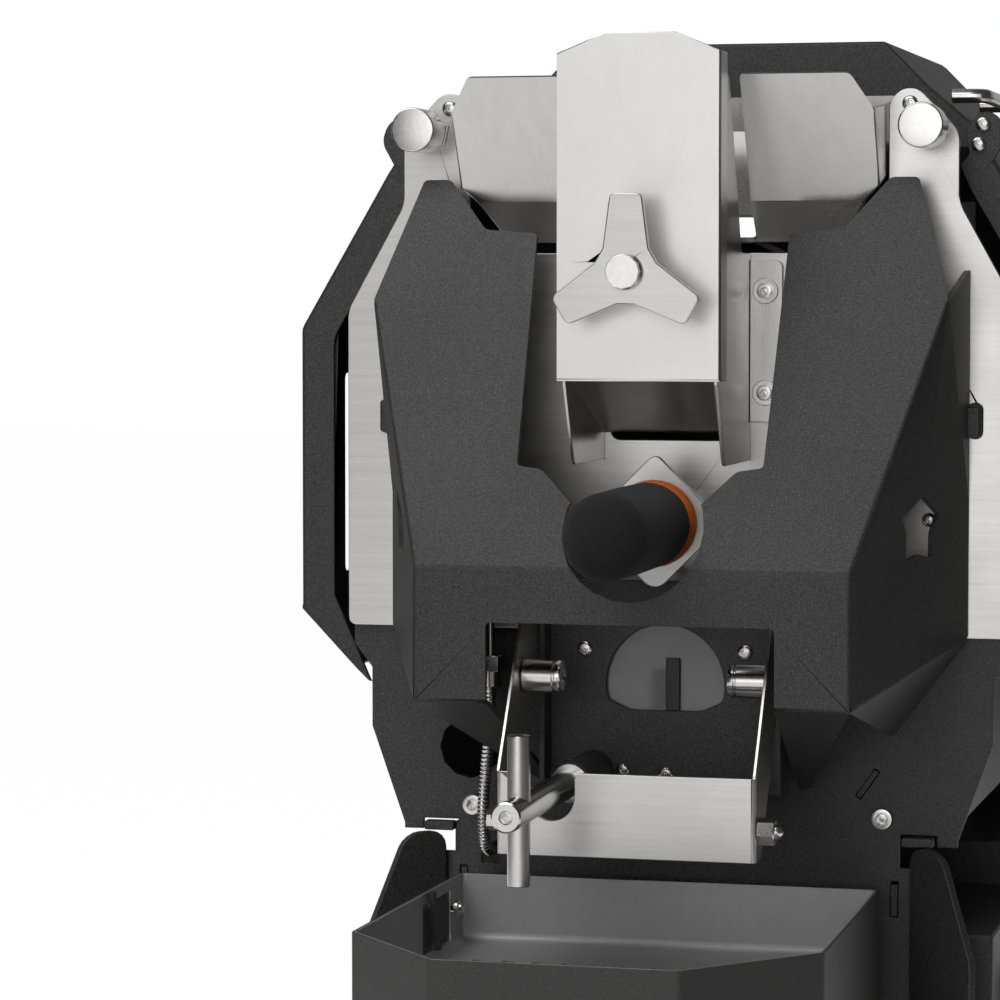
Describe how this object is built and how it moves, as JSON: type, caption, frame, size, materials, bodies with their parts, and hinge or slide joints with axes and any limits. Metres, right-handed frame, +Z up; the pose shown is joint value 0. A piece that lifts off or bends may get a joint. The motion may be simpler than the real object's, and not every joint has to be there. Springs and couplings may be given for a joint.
{
  "type": "coffee bean roaster",
  "caption": "Countertop electric drum roaster for coffee beans with hopper, trier, swinging discharge gate, cooling tray and chaff drawer.",
  "frame": {"origin": "centre of the footprint box at the level of the feet", "axes": "+Z up, -Y towards the user at the front, +X to the right as seen from the front"},
  "size_m": [0.298, 0.4554, 0.3957],
  "materials": {
    "brushed_steel_sheet": "brushed stainless sheet",
    "satin_steel": "fine satin stainless sheet",
    "turned_steel": "turned and polished stainless",
    "black_coat": "fine textured black powder coat",
    "drum_steel": "heat-darkened stainless",
    "tray_steel": "dark satin steel inside, black outside",
    "zinc_plate": "zinc plated steel",
    "foam_rubber": "closed-cell foam",
    "orange_silicone": "silicone ring",
    "sight_glass": "heat-resistant glass",
    "dark_plastic": "moulded black plastic",
    "quartz_tube": "heating tube",
    "foot_rubber": "moulded rubber"
  },
  "bodies": {
    "root": {"front_plate": "brushed_steel_sheet", "frame_plate": "black_coat", "fascia": "black_coat", "charge_chute": "brushed_steel_sheet", "chute_cover": "satin_steel", "hopper": "brushed_steel_sheet", "trier_flange": "brushed_steel_sheet", "probe_fitting": "turned_steel", "probe_cable": "turned_steel", "drum_housing": "black_coat", "heater_left": "quartz_tube", "heater_right": "quartz_tube", "bearing_plate": "zinc_plate", "gear_motor": "dark_plastic", "right_shell": "black_coat", "left_shell": "black_coat", "top_cover": "black_coat", "rear_hood": "black_coat", "carry_handle": "turned_steel", "base_pan": "zinc_plate", "base_cover": "black_coat", "fan_box": "black_coat", "foot_front_left": "foot_rubber", "foot_front_right": "foot_rubber", "foot_rear_left": "foot_rubber", "foot_rear_right": "foot_rubber", "chassis_wall_left": "black_coat", "chassis_wall_right": "black_coat", "cheek_right": "black_coat", "cheek_left": "black_coat", "rear_cover": "black_coat", "power_inlet": "dark_plastic"},
    "charge_gate": {"charge_knob": "brushed_steel_sheet", "charge_flap": "turned_steel"},
    "trier_sleeve": {"trier_ring": "orange_silicone"},
    "trier": {"trier_tube": "turned_steel", "trier_grip": "foam_rubber"},
    "discharge_gate": {"gate_door": "black_coat", "sight_glass": "sight_glass", "gate_lever": "brushed_steel_sheet", "gate_stud_left": "turned_steel", "gate_stud_right": "turned_steel", "latch_tube": "black_coat"},
    "latch": {"latch_handle": "turned_steel"},
    "drum_set": {"drum": "drum_steel", "drum_gear": "zinc_plate"},
    "pinion": {"motor_pinion": "zinc_plate"},
    "exhaust_fan": {"exhaust_impeller": "dark_plastic"},
    "cooling_fan": {"cooling_impeller": "dark_plastic"},
    "tray": {"cooling_tray": "tray_steel"},
    "flap": {"tray_flap": "tray_steel"},
    "dial_a": {"dial_1": "dark_plastic"},
    "dial_b": {"dial_2": "dark_plastic"},
    "dial_c": {"dial_3": "dark_plastic"},
    "rocker": {"power_rocker": "dark_plastic"},
    "drawer": {"chaff_drawer": "black_coat"},
    "thumb_left": {"thumb_screw_left": "turned_steel"},
    "thumb_right": {"thumb_screw_right": "turned_steel"}
  },
  "joints": [
    {"name": "charge_turn", "type": "hinge", "parent": "root", "child": "charge_gate", "pos_m": [0, -0.09865, 0.307], "axis": [0, 1, 0], "range_deg": [0, 90]},
    {"name": "trier_pull", "type": "slide", "parent": "root", "child": "trier_sleeve", "axis": [0, -1, 0], "range_m": [0, 0.11]},
    {"name": "trier_spin", "type": "hinge", "parent": "trier_sleeve", "child": "trier", "pos_m": [0, -0.07865, 0.218], "axis": [0, 1, 0], "continuous": true},
    {"name": "gate_swing", "type": "hinge", "parent": "root", "child": "discharge_gate", "pos_m": [0, -0.06865, 0.198], "axis": [-1, 0, 0], "range_deg": [0, 20]},
    {"name": "latch_turn", "type": "hinge", "parent": "discharge_gate", "child": "latch", "pos_m": [-0.026, -0.09865, 0.127], "axis": [0, 1, 0], "range_deg": [0, 90]},
    {"name": "drum_spin", "type": "hinge", "parent": "root", "child": "drum_set", "pos_m": [0, 0.06135, 0.234], "axis": [0, 1, 0], "continuous": true},
    {"name": "pinion_spin", "type": "hinge", "parent": "root", "child": "pinion", "pos_m": [0, 0.16535, 0.1855], "axis": [0, 1, 0], "continuous": true},
    {"name": "exhaust_spin", "type": "hinge", "parent": "root", "child": "exhaust_fan", "pos_m": [0, 0.14135, 0.361], "axis": [0, 0, 1], "continuous": true},
    {"name": "cooling_spin", "type": "hinge", "parent": "root", "child": "cooling_fan", "pos_m": [0, -0.13665, 0.02], "axis": [0, 0, 1], "continuous": true},
    {"name": "tray_slide", "type": "slide", "parent": "root", "child": "tray", "axis": [0, -1, 0], "range_m": [0, 0.12]},
    {"name": "flap_swing", "type": "hinge", "parent": "tray", "child": "flap", "pos_m": [-0.07852, -0.08665, 0.08], "axis": [0, 1, 0], "range_deg": [0, 40]},
    {"name": "dial_a_turn", "type": "hinge", "parent": "root", "child": "dial_a", "pos_m": [0.116, 0.02135, 0.036], "axis": [1, 0, 0], "range_deg": [0, 270]},
    {"name": "dial_b_turn", "type": "hinge", "parent": "root", "child": "dial_b", "pos_m": [0.116, 0.06135, 0.036], "axis": [1, 0, 0], "range_deg": [0, 270]},
    {"name": "dial_c_turn", "type": "hinge", "parent": "root", "child": "dial_c", "pos_m": [0.116, 0.10135, 0.036], "axis": [1, 0, 0], "range_deg": [0, 270]},
    {"name": "rocker_tilt", "type": "hinge", "parent": "root", "child": "rocker", "pos_m": [0.086, 0.22365, 0.034], "axis": [1, 0, 0], "range_deg": [-8, 8]},
    {"name": "drawer_slide", "type": "slide", "parent": "root", "child": "drawer", "axis": [0, 1, 0], "range_m": [0, 0.1]},
    {"name": "thumb_left_turn", "type": "hinge", "parent": "root", "child": "thumb_left", "pos_m": [-0.0923, -0.04865, 0.3585], "axis": [0, 1, 0], "continuous": true},
    {"name": "thumb_right_turn", "type": "hinge", "parent": "root", "child": "thumb_right", "pos_m": [0.0923, -0.04865, 0.3585], "axis": [0, 1, 0], "continuous": true}
  ],
  "couplings": [
    {"joint": "pinion_spin", "follows": "drum_spin", "ratio": -3}
  ]
}
